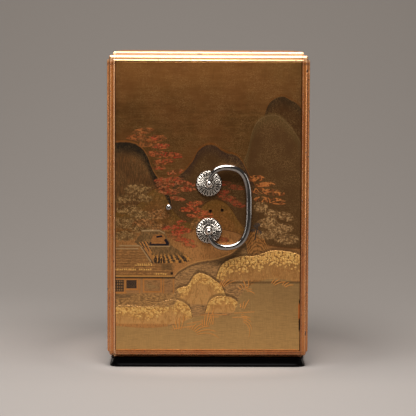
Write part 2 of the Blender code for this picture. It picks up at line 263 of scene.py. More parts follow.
def makeSweep(kit):
    bm = bmesh.new()
    ends = [bm.verts.new((side * kit["halfWidth"], -kit["front"], 0)) for side in (-1, 1)]
    edge = pullEdge(bm, bm.edges.new(ends), (0, kit["front"] + kit["back"], 0))
    bmesh.ops.spin(bm, geom=[edge, *edge.verts], cent=(0, kit["back"], kit["coveRadius"]),
        axis=(1, 0, 0), angle=pi / 2, steps=kit["coveSteps"])
    top = max(bm.edges, key=lambda e: sum(v.co.z for v in e.verts))
    pullEdge(bm, top, (0, 0, kit["wallHeight"]))
    bm.normal_update()
    bm.faces.ensure_lookup_table()
    if bm.faces[0].normal.z < 0:
        bmesh.ops.reverse_faces(bm, faces=bm.faces)
    mesh = bpy.data.meshes.new("sweep")
    bm.to_mesh(mesh)
    bm.free()
    mesh.shade_smooth()
    mesh.materials.append(makePaper(kit))
    sweep = addObject("sweep", mesh)


def makeWorld(kit):
    world = bpy.data.worlds.new("studio air")
    world.use_nodes = True
    plug(world.node_tree, world.node_tree.nodes["Background"].inputs,
        {"Color": (*kit["world"], 1), "Strength": kit["worldStrength"]})
    bpy.context.scene.world = world
    bpy.context.scene.view_settings.view_transform = "Standard"


# Place, target, size in metres, power in watts and colour.
lamps = {
    "overhead softbox": ((-0.09, -0.37, 1.06), (0, -0.1, 0.1), (0.95, 0.84), 24.2, (1, 0.985, 0.96)),
    "floor pool": ((0.05, -0.4, 0.62), (0.05, -0.2, 0), (0.26, 0.06), 1.1, (1, 0.98, 0.95)),
    "left strip": ((-1.25, -0.75, 0.42), (0, -0.1, 0.16), (0.3, 0.9), 2.1, (1, 0.97, 0.94)),
    "right strip": ((1.3, -0.45, 0.4), (0, -0.1, 0.16), (0.3, 0.9), 2.2, (1, 0.97, 0.94)),
    "wall wash": ((0, 0.25, 1.75), (0, 1.42, 0.55), (1.8, 0.3), 11, (1, 0.93, 0.81)),
}


def makeLamps(kit):
    for name, (place, target, size, power, color) in kit.items():
        data = bpy.data.lights.new(name, "AREA")
        data.shape = "RECTANGLE"
        data.size, data.size_y = size
        data.energy = power
        data.color = color
        made = addObject(name, data)
        made.location = place
        made.rotation_euler = (Vector(target) - Vector(place)).to_track_quat("-Z", "Y").to_euler()


makeCamera(camera)
makeSweep(studio)
makeLamps(lamps)
makeWorld(studio)
print("camera, floor and light placed")


def makeDustGroup():
    # fine sprinkled metal: bright specks of several sizes on the ground
    group, wire, close = makeGroup("sprinkled dust", {"Vector": "Vector", "Grain": 2200, "Amount": 0.5},
        {"Specks": 0, "Cloud": 0})
    cells = addNode(group, "TexVoronoi", {"Vector": wire["Vector"], "Scale": wire["Grain"]}, "Color")
    pick = addNode(group, "SeparateColor", {"Color": cells})
    specks = (pick - wire["Amount"].flip()).step(0, 0.25)
    cloud = Surface(group, wire["Vector"]).noise(55, 4, 0.6)
    return close({"Specks": specks * cloud.step(0.3, 0.35), "Cloud": cloud})


def makeRubGroup():
    # handling wear: streaky rubbed patches and small nicks, and dirt with painted shade from a shelter mask
    group, wire, close = makeGroup("rub and grime", {"Vector": "Vector", "Open": 1, "Crest": 0},
        {"Rubbed": 0, "Nicks": 0, "GrimeAndShade": 0})
    vector, clear, crest = wire.values()
    ground = Surface(group, vector)
    patches = ground.noise(38, 5, 0.62)
    fine = ground.noise(420, 3, 0.6)
    rubbed = (patches * 0.7 + fine * 0.3 + crest * 0.16).step(0.56, 0.12)
    nicks = (ground.noise(260, 2, 0.7) + crest * 0.07).step(0.735, 0.02)
    # dirt and painted shade in sheltered hollows, where the shelter mask is low
    grimeAndShade = clear.step(0.8, -0.5) * fine.step(0.1, 0.5)
    return close({"Rubbed": rubbed, "Nicks": nicks, "GrimeAndShade": grimeAndShade})


def makeLeafGroup():
    # lobed leaves or dots strewn over the panel's face, one to a cell, thinned by a density
    group, wire, close = makeGroup("strewn leaves",
        {"Shift": "Vector", "Scale": "Vector", "Size": 0.5, "Lobes": 5, "Lobe depth": 0.35, "Density": 1,
        "Jitter": 0.9}, {"Leaf": 0, "Tone": 0})
    shift, scale, size, lobes, depth, density, jitter = wire.values()
    spread = addNode(group, "Mapping", {"Vector": addNode(group, "TexCoord", {}, "Object"), "Location": shift,
        "Scale": scale, "Rotation": (radians(-90), 0, 0)})
    cell = addNode(group, "TexVoronoi", {"Vector": spread, "Scale": 1, "Randomness": jitter},
        voronoi_dimensions="2D")
    local = addNode(group, "Mapping", {"Vector": spread, "Location": cell.out("Position")},
        vector_type="TEXTURE")
    angle = addNode(group, "TexGradient", {"Vector": local}, "Fac", gradient_type="RADIAL")
    chance = addNode(group, "SeparateColor", {"Color": cell.out("Color")})
    turn = (angle * lobes + chance.out("Green")) * tau
    inside = size * (turn.calc("COSINE") * depth + 1) - cell.out("Distance")
    present = (density - chance.out("Blue")).step(0.02, 0.08)
    return close({"Leaf": inside.step(-0.04, 0.08) * present, "Tone": chance.out("Red")})


def makeTuftGroup():
    # a fan of grass blades in the plane of Across and Up, from a third of the way out
    group, wire, close = makeGroup("grass tuft", {"Across": 0, "Up": 0, "Length": 10, "Spread": 1,
        "Blades": 9, "Lean": 0}, {"Blade": 0})
    across, up, length, spread, blades, lean = wire.values()
    reach = (across * across + up * up).calc("SQRT")
    share = reach / length
    angle = across.calc("ARCTAN2", up) - lean - share * share * lean
    turn = angle / spread
    row = turn * blades * 0.5
    number = row.calc("ROUND")
    cut = (number * 12.9898).calc("SINE") * 0.3 + 0.75  # blades of uneven length
    apart = spread * 2 / blades * reach
    thin = ((row - number).calc("ABSOLUTE") * apart).step(0.55, -0.35)
    inside = turn.calc("ABSOLUTE").step(1.05, -0.05) * (cut - share).step(0, 0.1) * share.step(0.34, 0.06)
    return close({"Blade": thin * inside})


dustGroup = makeDustGroup()
rubGroup = makeRubGroup()
leafGroup = makeLeafGroup()
tuftGroup = makeTuftGroup()


picture = {"width": 186, "height": 290.5, "tongue": 0.0025}  # millimetres, but the tongue in metres

# Outlines run left to right as (across, up) in millimetres from the panel's lower left corner.
outlines = {
    "farDome": [(140, 190), (146, 222), (149, 237), (153, 248), (158, 253), (166, 256), (174, 253),
        (182, 248), (186, 243)],
    "nearDome": [(122, 175), (126, 186), (131, 197), (134, 208), (136, 218), (139, 226), (144, 233),
        (152, 237), (159, 238), (166, 235), (172, 229), (178, 222), (186, 209)],
    "midDome": [(58, 168), (71, 183), (78, 192), (82, 200), (88, 205.5), (95, 207.5), (101, 206),
        (106, 202), (112, 199), (119, 197.5), (125, 193), (133, 178), (142, 160)],
    "leftRock": [(0, 209.5), (8, 210), (17, 209), (23, 206.5), (28, 202), (32, 196), (35, 188), (38, 181),
        (42, 175), (48, 168), (56, 150)],
    "studSlope": [(0, 140), (12, 142), (24, 149), (34, 160), (41, 164), (47, 161), (52, 152), (58, 142),
        (68, 132), (84, 124)],
    "centreHill": [(74, 124), (82, 138), (91, 149.5), (99, 153), (105, 152), (111, 149), (117, 142),
        (122, 134), (127, 127), (134, 113)],
    "meadow": [(0, 118), (30, 121), (60, 119), (90, 124), (120, 120), (138, 112), (160, 106), (186, 104)],
    "strawMound": [(126, 96), (130, 110), (135, 119), (141, 122.5), (147, 118), (151, 110), (155, 98)],
    "bank": [(56, 68), (62, 79), (69, 84), (77, 88), (88, 91), (99, 92.5), (108, 95), (117, 99), (124, 105),
        (131, 110)],
    "rightMound": [(100, 66), (103, 79), (106, 85), (111, 90), (118, 93.5), (126, 95.5), (140, 96),
        (148, 98.5), (156, 101), (170, 101), (180, 99), (186, 96.5)],
    "middleMound": [(54, 44), (57, 52), (61, 61), (66, 64), (72, 65.5), (76, 71), (80, 76.5), (86, 78.5),
        (92, 76.5), (99, 72), (105, 67.5), (109, 61), (112, 52)],
    "leftMound": [(0, 46), (16, 45.5), (28, 44.5), (36, 44.5), (43, 48), (50, 50.5), (57, 51.5), (64, 50.5),
        (70, 48), (75, 43), (77, 36), (79, 24)],
    "lowMound": [(87, 28), (91, 40), (94, 49), (99, 53.5), (105, 55), (112, 55), (118, 53), (124, 48),
        (128, 40), (131, 30)],
    "waterLine": [(0, 25), (60, 26), (80, 34), (96, 37), (118, 38), (126, 56), (140, 68.5), (186, 69)],
}

# Leaf tiers are (across, up, half width, half height) and the degrees they are turned.
# The thickets have a leaf colour, the colour between, and a seed for their leaves and curls.
thickets = [
    ((170, 129, 79), (112, 78, 44), 0, [(22, 163, 15, 6), (10, 153, 12, 5, 6), (27, 154, 12, 5, -6),
        (14, 142, 15, 6), (28, 136, 15, 6), (9, 129, 14, 7), (30, 124, 18, 6), (10, 116, 14, 6)]),
    ((206, 158, 104), (134, 94, 56), 31, [(146, 145, 8, 6), (157, 138, 9, 6, -10), (170, 136, 10, 5, -14),
        (153, 129, 12, 6), (166, 124, 14, 6), (152, 117, 12, 5), (172, 113, 14, 6)]),
    ((188, 118, 64), (120, 76, 42), 57, [(44, 138, 13, 6), (30, 129, 14, 5), (46, 124, 13, 5),
        (86, 128, 12, 6)]),
]

# The maples from the top down have two leaf colours and an outline.
maples = [
    ((140, 82, 44), (164, 84, 44), (176, 100, 52), [(28, 221, 12, 3.6, 8), (22, 214, 13, 4, -4),
        (41, 214, 12, 4, 6), (33, 208, 12, 3.4, 4)]),
    ((188, 50, 38), (176, 78, 46), (188, 100, 56), [(41, 214, 6, 3.2), (46, 206, 10, 3.2, 4),
        (44, 198, 14, 3.8, -4), (59, 197, 10, 3.2, -8), (48, 190.5, 12, 3.2, 4), (44, 184.5, 8, 2.4)]),
    ((188, 66, 42), (178, 92, 56), (194, 110, 68), [(60, 180, 9, 3, 10), (58, 173, 11, 3.2),
        (69, 169, 12, 3, -10), (50, 167, 12, 3.4, 4), (71, 163, 11, 2.8, -2), (56, 160, 12, 3, 4),
        (62, 153.5, 9, 2.4, -10), (46, 172, 8, 3, 8), (48, 162, 9, 3)]),
    ((206, 66, 40), (194, 96, 54), (208, 108, 62), [(80, 148.5, 10, 3.2, 6), (74, 143, 11, 3.2, 4),
        (86, 140, 13, 3.8, -14), (92, 134, 10, 3, -8), (80, 136, 9, 2.6, -8)]),
    ((212, 42, 38), (196, 62, 44), (196, 92, 56), [(66, 130, 6, 2.4), (61, 125, 9, 2.8, 4),
        (71, 121.5, 8, 2.6, -8), (60, 116, 9, 2.8, 4), (69, 111.5, 12, 3.2, -8), (75, 106.5, 9, 2.6, -6),
        (64, 120, 9, 2.6), (52, 124, 6, 2.4)]),
    ((170, 48, 36), (142, 64, 38), (160, 76, 44), [(109, 169, 8, 2.6), (121, 165, 9, 3, -8),
        (108, 160, 8, 2.8, 6), (113, 154, 12, 3.6, -12), (123, 148, 9, 3.2, -14), (108, 112, 7, 3.4)]),
]

pine = [(141, 174, 9, 3.6, 4), (150, 168, 12, 2.6, 6), (144, 161.5, 9, 3.4), (158, 160, 13, 3.6, -6),
    (146, 153, 8, 3.2), (160, 151.5, 13, 3.6, -8)]


class Canvas(Surface):
    # the picture as it builds up from far to near, in millimetres on the panel's face

    def __init__(self, tree, color, metal, relief):
        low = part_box("front_panel")[0]
        place = addNode(tree, "TexCoord", {}, "Object")
        foot = low.z + picture["tongue"]
        flat = addNode(tree, "Mapping", {"Vector": place, "Location": (-low.x * 1000, -foot * 1000, 0),
            "Rotation": (radians(-90), 0, 0), "Scale": (1000, 0, 1000)})
        super().__init__(tree, flat, color)
        self.share = self.slide(0, picture["width"])
        self.across = self.share * picture["width"]
        self.up = self.slide(-90, picture["height"]) * picture["height"]
        self.wobble = self.noise(0.35, 3, 0.6) - 0.5
        self.metal = metal
        self.relief = relief
        self.lines = {}

    def slide(self, turn, size):
        # 0 to 1 across the panel, or up it
        along = self.add("Mapping", {"Vector": self.place, "Rotation": (0, 0, radians(turn)),
            "Scale": (1 / size, 1 / size, 1)})
        return self.add("TexGradient", {"Vector": along}, "Fac")

    def lay(self, mask, color, metal=None, relief=None):
        super().lay(mask, color)
        if metal is not None:
            self.metal = self.mixValue(mask, self.metal, metal)
        if relief is not None:
            self.relief = self.relief + mask * relief

    def below(self, name):
        # millimetres below an outline, with a slightly uneven hand
        line = self.add("FloatCurve", {"Value": self.share})
        mapping = line.socket.node.mapping
        curve = mapping.curves[0]
        points = [(a / picture["width"], u / picture["height"]) for a, u in outlines[name]]
        if points[0][0] > 0.02:
            points.insert(0, (points[0][0] - 0.02, 0))
        if points[-1][0] < 0.98:
            points.append((points[-1][0] + 0.02, 0))
        curve.points[0].location = points[0]
        curve.points[1].location = points[-1]
        for point in points[1:-1]:
            curve.points.new(*point)
        mapping.update()
        return line * picture["height"] - self.up + self.wobble * 1.6

    def tiers(self, ellipses, firm=2.2):
        # density of foliage: 1 inside the ellipses, fading at their edges
        best = None
        for across, up, wide, high, *turn in ellipses:
            fall = self.ball((across, up, 0), (wide, high, 1), *turn)
            best = best.most(fall) if best else fall
        return (best * firm).least(1)

    def leaves(self, density, spacing, size, lobes=5, depth=0.35, shift=(0, 0), stretch=1, jitter=0.9):
        fine = 1000 / spacing
        return useGroup(self.tree, leafGroup, {"Shift": (*shift, 0), "Scale": (fine / stretch, fine, fine),
            "Size": size, "Lobes": lobes, "Lobe depth": depth, "Density": density, "Jitter": jitter})

    def curls(self, seed, fine, lines, thick, wide=0.55, high=1):
        # thin curling brush lines, laid out like the contours of a soft noise
        swirl = self.noise(fine, 1.5, 0.45, (wide, high, 1), 0.6, (seed, seed * 0.7, 0))
        return (swirl * lines).calc("PINGPONG", 0.5).step(thick, -0.1)

    def slant(self, along, rising, offset):
        # distance past a slanting line, each line made once
        key = (round(along, 5), round(rising, 5), round(offset, 5))
        if key not in self.lines:
            level = self.up.calc("MULTIPLY_ADD", rising, offset) if abs(rising) > 1e-5 else offset
            self.lines[key] = self.across.calc("MULTIPLY_ADD", along, level) if abs(along) > 1e-5 else level
        return self.lines[key]

    def polygon(self, *corners):
        # depth inside a convex shape with its corners given clockwise
        inside = None
        for (a0, u0), (a1, u1) in zip(corners, corners[1:] + corners[:1]):
            run, rise = a1 - a0, u1 - u0
            length = (run * run + rise * rise) ** 0.5
            depth = self.slant(rise / length, -run / length, (u0 * run - a0 * rise) / length)
            inside = inside.least(depth) if inside else depth
        return inside

    def rectangle(self, left, low, right, high):
        return self.polygon((left, high), (right, high), (right, low), (left, low))

    def stroke(self, a0, u0, a1, u1, half, soft=0.3):
        # a straight brush line
        run, rise = a1 - a0, u1 - u0
        length = (run * run + rise * rise) ** 0.5
        along = self.slant(run / length, rise / length, -(a0 * run + u0 * rise) / length)
        off = self.slant(-rise / length, run / length, (a0 * rise - u0 * run) / length)
        return off.band(0, half, soft) * along.band(length / 2, length / 2, soft)

    def tuft(self, across, up, length, spread, blades, lean):
        return useGroup(self.tree, tuftGroup, {"Across": self.across - across, "Up": self.up - up,
            "Length": length, "Spread": spread, "Blades": blades, "Lean": lean})["Blade"]


def paintHills(art, lay, mix):
    # domes and rocks behind the trees, each with a warm halo and a dark inner line
    brush = art.noise(0.5, 4, 0.65, (1, 0.18, 1))
    streak = art.noise(1.1, 4, 0.7, (1, 0.12, 1))
    for name, deep, face, halo, glow in (
            ("farDome", (62, 44, 27), (80, 52, 28), 1.6, (120, 70, 32)),
            ("nearDome", (100, 74, 42), (94, 64, 36), 0.8, (112, 82, 46)),
            ("midDome", (68, 47, 35), (88, 60, 34), 1.4, (146, 82, 34))):
        depth = art.below(name)
        lay(depth.band(-halo, 0.4, 1) * 0.6, glow, 0.75)
        lay(depth.step(-0.3, 0.8), mix(depth.step(0.5, 14), deep, face), 0.62, 0.03)
        lay(depth.step(0, 3) * depth.step(26, -18) * streak.step(0.52, 0.14) * 0.5, (108, 74, 42))
        if name == "nearDome":
            lay(depth.band(0.4, 0.3, 0.5) * 0.45, (134, 104, 66), 0.6)
    depth = art.below("leftRock")
    lay(depth.band(-1, 0.4, 0.8), (150, 92, 46), 0.75)
    lay(depth.step(-0.2, 0.6), mix(depth.step(4, 12), (32, 27, 22), (88, 60, 35)), 0.55, 0.05)
    lay(depth.step(9, 8) * streak.step(0.46, 0.14) * 0.62, (136, 88, 48), 0.7)
    lay(depth.step(12, 8) * brush.step(0.55, 0.1) * 0.5, (52, 38, 24))


def paintSlopes(art, lay, mix):
    # the grassy slopes, the meadow and the straw mound in the middle distance
    blades = art.noise(1.6, 3, 0.65, (1, 0.16, 1), 0.6)
    for name, deep, face in (
            ("studSlope", (114, 80, 36), (126, 82, 42)),
            ("centreHill", (132, 90, 40), (140, 88, 42)),
            ("meadow", (166, 110, 62), (200, 136, 78))):
        depth = art.below(name)
        shade = mix(depth.step(1, 20), deep, face)
        lay(depth.step(-0.4, 1), shade, 0.7, 0.04)
        lay(depth.step(0.5, 3) * blades.step(0.5, 0.12) * 0.65, (82, 54, 26))
        tufts = art.curls(len(name) * 3, 0.32, 2.4, 0.16, 0.9, 0.8) * depth.step(1, 3)
        lay(tufts * 0.5, mix(0.4, face, (214, 140, 72)), 0.6, 0.02)
        lay(depth.band(0.3, 0.25, 0.5) * 0.8, (92, 50, 24))
    depth = art.below("strawMound")
    lay(depth.step(-0.3, 0.8), (138, 86, 42), 0.72, 0.05)
    body = depth.step(0, 1)
    lay(body * blades.step(0.47, 0.08), (186, 124, 66), 0.8, 0.03)
    lay(body * blades.step(0.42, -0.08) * 0.8, (82, 48, 24))
    stalks = (depth * 1.5 + art.across * 0.7 + art.wobble * 9).calc("SINE")
    lay(body * stalks.step(0.25, 0.4) * 0.7, (218, 142, 76), 0.8, 0.03)
    lay(body * stalks.step(-0.35, -0.4) * 0.6, (70, 42, 22), 0.6)
    lay(body * art.across.step(132, -7) * 0.8, (48, 34, 22), 0.5)


def paintTrees(art, lay, mix):
    # grey and russet foliage, then the red maples in flat tiers, then the curled pine
    for leaf, gap, seed, tiers in thickets:
        density = art.tiers(tiers)
        lay(density * 0.8, gap, 0.65)
        spray = art.leaves(density, 2.2, 0.44, 6, 0.3, (seed, seed), 1.15)
        lay(spray["Leaf"] * 0.8, mix(spray["Tone"], leaf, gap), 0.7, 0.03)
        present = density.step(0.15, 0.35)
        lay(present * art.curls(seed + 3, 0.36, 2.4, 0.17, 0.8) * 0.75,
            mix(0.35, leaf, (214, 166, 108)), 0.5, 0.03)
        lay(present * art.curls(seed + 9, 0.42, 2.2, 0.16, 0.8) * 0.65, (58, 42, 26), 0.5)
    for number, (first, second, outline, tiers) in enumerate(maples):
        density = art.tiers(tiers, 3.2)
        lay(density * 0.45, mix(0.15, (108, 64, 36), first), 0.6)
        spray = art.leaves(density * 0.85, 2.2, 0.44, 5, 0.45, (7.3 * number, 3.1 * number), 1.5)
        lay(spray["Leaf"] * 0.68, mix(spray["Tone"].step(0.4, 0.4), first, second), 0.45, 0.05)
        present = density.step(0.1, 0.3)
        lay(present * art.curls(4.7 * number, 0.38, 2.6, 0.2) * 0.85, outline, 0.65, 0.03)
        lay(present * art.curls(4.7 * number + 8, 0.42, 2.4, 0.15) * 0.7, (70, 42, 24), 0.5)
    density = art.tiers(pine)
    lay(density * 0.55, (78, 52, 30), 0.6)
    present = density.step(0.1, 0.25)
    lay(present * art.curls(71, 0.22, 2, 0.15, 0.6), (204, 122, 62), 0.6, 0.05)
    lay(present * art.curls(83, 0.3, 2.2, 0.12, 0.6) * 0.6, (168, 84, 44), 0.6, 0.05)
    trunk = art.stroke(140, 112, 143, 128, 0.5).most(art.stroke(143, 122, 138, 127, 0.35))
    lay(trunk, (40, 38, 40), 0.3, 0.04)
    density = art.tiers([(142, 127, 4, 3), (138, 122, 3, 2), (145, 120, 3, 2.4)])
    spray = art.leaves(density, 1.5, 0.5)
    lay(spray["Leaf"], (44, 46, 52), 0.3, 0.04)


def paintHouses(art, lay, mix):
    # a thatched gable over a long shingled roof, with a lattice, a dark doorway and a painted screen
    stroke, polygon = art.stroke, art.polygon
    across, up = art.across, art.up
    ink, amber, pale = (12, 12, 16), (212, 134, 66), (196, 158, 112)
    grain = art.noise(0.9, 4, 0.7, (0.3, 1, 1))
    scribble = art.curls(5, 0.34, 2.4, 0.16, 0.7)
    yard = polygon((-4, 62), (62, 62), (66, 56), (58, 44), (-4, 44)).step(-0.5, 1.2)
    lay(yard, mix(grain.step(0.36, 0.25), (126, 92, 56), (204, 148, 88)), 0.6)
    lay(yard * scribble * 0.45, (84, 60, 40), 0.5)
    lay(polygon((-4, 57.5), (20, 57.5), (14, 53), (-4, 52)).step(-0.2, 1.5) * 0.6, (96, 72, 52), 0.5)
    wall = art.rectangle(-4, 57.8, 60, 76)
    lay(wall.step(-0.2, 0.5), (176, 124, 78), 0.7, 0.03)
    lay(wall.step(0.5, 1) * across.step(45, 3) * scribble * 0.6, (92, 68, 46), 0.6)
    screen = art.rectangle(28.4, 59.4, 46, 72.2)
    lay(screen.step(0.4, 0.4) * grain.step(0.5, 0.1) * 0.5, (128, 104, 62), 0.7)
    lay(screen.step(0.8, 0.4) * scribble * 0.5, (88, 60, 40), 0.6)
    hillside = polygon((31, 67.5), (36, 67), (44, 64), (44, 63), (31, 62))
    lay(hillside.step(-0.2, 1.2) * grain.step(0.4, 0.2) * 0.6, (164, 142, 92), 0.7, 0.02)
    doorway, window = (-0.6, 59.8, 8.3, 71.2), (11.4, 63.2, 21, 70.9)
    for sides in (doorway, window):
        opening = art.rectangle(*sides)
        lay(opening.band(-1.3, 0.7, 0.3), amber, 0.8, 0.04)
        lay(opening.step(-0.5, 0.3), (54, 40, 32), 0, -0.03)
    bars = ((across + 0.75) / 1.9).calc("PINGPONG", 0.5).step(0.22, 0.1)
    rungs = ((up + 1) / 2.9).calc("PINGPONG", 0.5).step(0.14, 0.08)
    lattice = art.rectangle(*doorway)
    lay(lattice.step(0.3, 0.3) * bars * rungs, (166, 120, 72), 0.7, 0.03)
    lay(screen.band(0, 0.55, 0.3).most(stroke(-1, 58.5, 11, 58.5, 0.7)), amber, 0.8, 0.03)
    for post in (10, 24.4, 48.6, 58.5):
        lay(stroke(post, 58, post, 74, 0.5), (196, 126, 64), 0.75, 0.03)
    roof = polygon((-4, 105.5), (25, 105.5), (35.8, 89.3), (35.8, 75), (-4, 75))
    porch = polygon((30, 89), (58, 88.5), (58.5, 76.5), (56, 75), (30, 75))
    tiled = roof.most(porch)
    lay(tiled.step(-0.2, 0.5), mix(grain.step(0.42, 0.2), (142, 92, 52), (188, 126, 70)), 0.68, 0.06)
    rows = ((up - 1.2 + art.wobble) / 2.75).calc("PINGPONG", 0.5)
    worn = art.noise(0.22, 3, 0.7).step(0.36, 0.2)
    lay(tiled.step(0.4, 0.6) * rows.step(0.3, 0.12) * worn * 0.5, (84, 56, 34))
    lay(tiled.step(0.4, 0.6) * rows.step(0.14, -0.08) * worn * 0.6, (210, 150, 86), 0.7)
    lay(tiled.step(0.4, 0.6) * scribble * 0.45, (92, 62, 38), 0.6)
    for row, first, last in ((87, 19, 37), (82.2, -1, 37), (77.6, 38, 52)):
        shingles = art.rectangle(first, row - 1.3, last, row + 1.3)
        dots = art.leaves(shingles.step(-0.2, 0.6), 2.2, 0.36, 0, 0, (3 + row, 1), 1, 0.25)
        lay(dots["Leaf"], (222, 166, 88), 0.4, 0.05)
    lay(polygon((44, 89), (58, 89), (58, 80), (46, 81)).step(0, 2.5) * 0.7, (82, 58, 36), 0.6)
    lay(stroke(-1, 75.4, 57, 75.4, 0.55), (222, 156, 80), 0.85, 0.04)
    lay(stroke(-1, 73.6, 60, 73.6, 0.65), (40, 28, 20), 0.3)
    lay(stroke(55.6, 78, 57.8, 78.2, 1), ink, 0)
    lay(stroke(26.8, 104.2, 37.4, 88.6, 0.6, 0.6), (60, 44, 36), 0.4)
    edges = stroke(4, 106, 25.5, 106, 0.5).most(stroke(0, 103, 23, 103, 0.4))
    lay(edges.most(stroke(25.3, 105.3, 35.6, 90, 0.5)), pale, 0.8, 0.05)
    slope = polygon((19, 109.5), (27, 121), (49, 121), (56, 107), (27, 104))
    body = polygon((33, 107), (56, 107), (78, 92), (70, 88.5), (39, 88.5))
    thatch = slope.most(body)
    straws = art.noise(1.1, 3, 0.6, (1, 0.25, 1))
    lay(thatch.step(-0.2, 0.6), mix(straws.step(0.42, 0.2), (82, 58, 36), (148, 104, 62)), 0.62, 0.08)
    lay(slope.step(0, 1) * up.step(118, -8) * across.step(34, -10) * 0.6, (52, 36, 26), 0.5)
    fan = (across - 44).calc("ARCTAN2", up * -1 + 122)
    sway = art.noise(0.6, 2, 0.6) * 9
    flames = (fan * 44 + sway).calc("SINE")
    fringe = body.step(0, 0.6) * up.step(99.5, -5)
    lay(fringe * flames.step(0.1, 0.4), (232, 156, 76), 0.8, 0.06)
    lay(fringe * flames.step(-0.2, -0.4) * 0.9, (26, 24, 26), 0.1)
    ends = polygon((20.5, 109.5), (33, 110.5), (37, 99), (33, 96), (26.5, 105.5)).step(-0.4, 0.6)
    flicks = (across * 2 + up * 1.1 + sway * 0.5).calc("SINE")
    lay(ends * flicks.step(0, 0.4), (216, 140, 70), 0.8, 0.05)
    lay(ends * flicks.step(-0.2, -0.4) * 0.9, (28, 28, 36), 0.1)
    for post in (41, 43.6, 46.2, 48.8):
        lay(stroke(post, 88.4, post + 0.2, 93.5, 0.55), ink, 0)
    gable = polygon((38.5, 117.2), (48.5, 117.2), (54.4, 106), (33.2, 106)).step(-0.3, 0.4)
    lay(gable, mix(grain.step(0.4, 0.2), (150, 92, 50), (196, 122, 62)), 0.7, 0.03)
    beams = stroke(34.2, 107, 53.6, 107.2, 0.95).most(stroke(49.9, 112.6, 53, 107.6, 1.25))
    beams = beams.most(stroke(41.4, 115, 47, 115.7, 0.85)).most(stroke(34.2, 107.2, 36, 109.6, 0.7))
    lay(beams, (8, 12, 24), 0, 0.06)
    light = stroke(26.5, 121.2, 44.5, 121.4, 0.55).most(stroke(33.5, 105.4, 54.5, 105.4, 0.4))
    lay(light.most(stroke(44.5, 121.2, 49.4, 118.6, 0.45)), pale, 0.8, 0.06)


def paintMounds(art, lay, mix):
    # the dark channel, then gold mounds strewn with bright flowers along their crests
    ripple = art.noise(0.8, 3, 0.6, (0.22, 2, 1))
    depth = art.below("bank")
    lay(depth.step(0.3, 0.6), mix(ripple.step(0.38, 0.2), (124, 93, 62), (204, 150, 94)), 0.6)
    lay(depth.band(0.2, 0.7, 0.5), (232, 164, 96), 0.85, 0.05)
    shade = art.across.step(86, 20) * depth.step(0.7, 0.5) * depth.step(9.5, -5)
    lay(depth.band(1.6, 0.7, 1).most(shade) * 0.7, (44, 32, 24), 0.3)
    lay(depth.step(1, 2) * art.curls(41, 0.34, 2.4, 0.15, 0.8) * 0.5, (70, 50, 36), 0.5)
    strokes = art.noise(0.9, 3, 0.6, (1, 0.3, 1), 1.2)
    for number, (name, foot, crest) in enumerate((("rightMound", 69.5, 21), ("middleMound", 45, 14),
            ("leftMound", 25, 17), ("lowMound", 36.5, 11))):
        face, gap = ((232, 170, 102), (176, 118, 58)) if number else ((208, 146, 84), (128, 84, 42))
        depth = art.below(name)
        inside = depth.step(-0.2, 0.7) * art.up.step(foot + 0.9, 2.2)
        lay(depth.band(-1.2, 0.9, 1.8) * art.up.step(foot, 3) * 0.62, (62, 42, 26), 0.5)
        lay(inside, mix(depth.step(2, 18), (232, 168, 96), face), 0.82, 0.1)
        lay(inside * strokes.step(0.52, 0.1) * depth.step(5, 6) * 0.45, (246, 190, 110), 0.9, 0.03)
        lay(inside * strokes.step(0.44, -0.1) * 0.35, (146, 96, 50), 0.7)
        hatching = art.curls(60 + 9 * number, 0.24, 2.4, 0.16, 1, 0.45) * depth.step(4, 6)
        lay(inside * hatching * 0.5, (168, 104, 50), 0.7)
        thinning = depth.step(crest, -crest * 0.8) * inside
        lay(thinning * 0.8, gap, 0.7)
        for spacing, size in ((3, 0.42), (2.1, 0.4)) if number < 3 else ((3.4, 0.42), (3, 0.34)):
            dots = art.leaves(thinning, spacing, size, 4, 0.15, (11 * number + spacing, 2 * number), 1, 0.75)
            lay(dots["Leaf"] * inside, mix(dots["Tone"], (232, 184, 106), (212, 152, 78)), 0.4, 0.08)
        lay(depth.band(0.35, 0.25, 0.35) * inside, (214, 160, 92), 0.5, 0.05)


def paintWater(art, lay, mix):
    # pale gold water with level lines
    level = art.below("waterLine").step(-0.4, 1.2)
    ripple = art.noise(1, 4, 0.62, (0.1, 2.4, 1))
    lines = art.noise(1.6, 2, 0.5, (0.05, 2.6, 1))
    shade = mix(art.up.step(70, -66), (180, 139, 88), (206, 160, 100))
    lay(level, shade, 0.82)
    lay(level * ripple.step(0.5, 0.16) * 0.4, (206, 164, 100), 0.9, 0.02)
    lay(level * lines.step(0.46, -0.1) * 0.4, (112, 80, 48), 0.7)
    lay(art.stroke(112, 69, 186, 69.3, 0.5, 1.2) * 0.8, (88, 62, 38), 0.6)


def paintGrass(art, lay, mix):
    # reeds at the water's edge, each with its shadow, and the lines they stand on
    for across, up, length, spread, blades, lean in (
            (89, 12, 34, 0.26, 4, 0.04), (99, 16, 28, 0.14, 2, -0.1), (131, 58, 16, 0.8, 4, -0.35),
            (127, 58, 16, 0.4, 3, 0.8), (154, 60, 24, 0.32, 3, 0.5), (166, 60, 18, 0.4, 3, 0.5),
            (127, 35, 22, 0.34, 3, 0.12), (120, 30, 24, 0.5, 5, 1.1), (72, 10, 33, 0.5, 6, 0.5),
            (63, 12, 26, 0.44, 4, -0.1), (104, 58, 22, 0.36, 4, 0.3)):
        blade, shadow = (art.tuft(across + off, up - off / 3, length, spread, blades, lean)
            for off in (0, 0.9))
        lay(shadow * 0.45, (96, 66, 38), 0.5)
        lay(blade, (224, 142, 66), 0.35, 0.06)
    for ends in ((86, 36, 112, 36.6), (92, 34, 104, 34.2), (120, 38, 140, 39.4), (118, 33.6, 136, 33.8),
            (72, 27, 88, 30), (60, 22, 80, 25)):
        lay(art.stroke(*ends, 0.3, 0.5) * 0.7, (214, 138, 70), 0.4, 0.03)


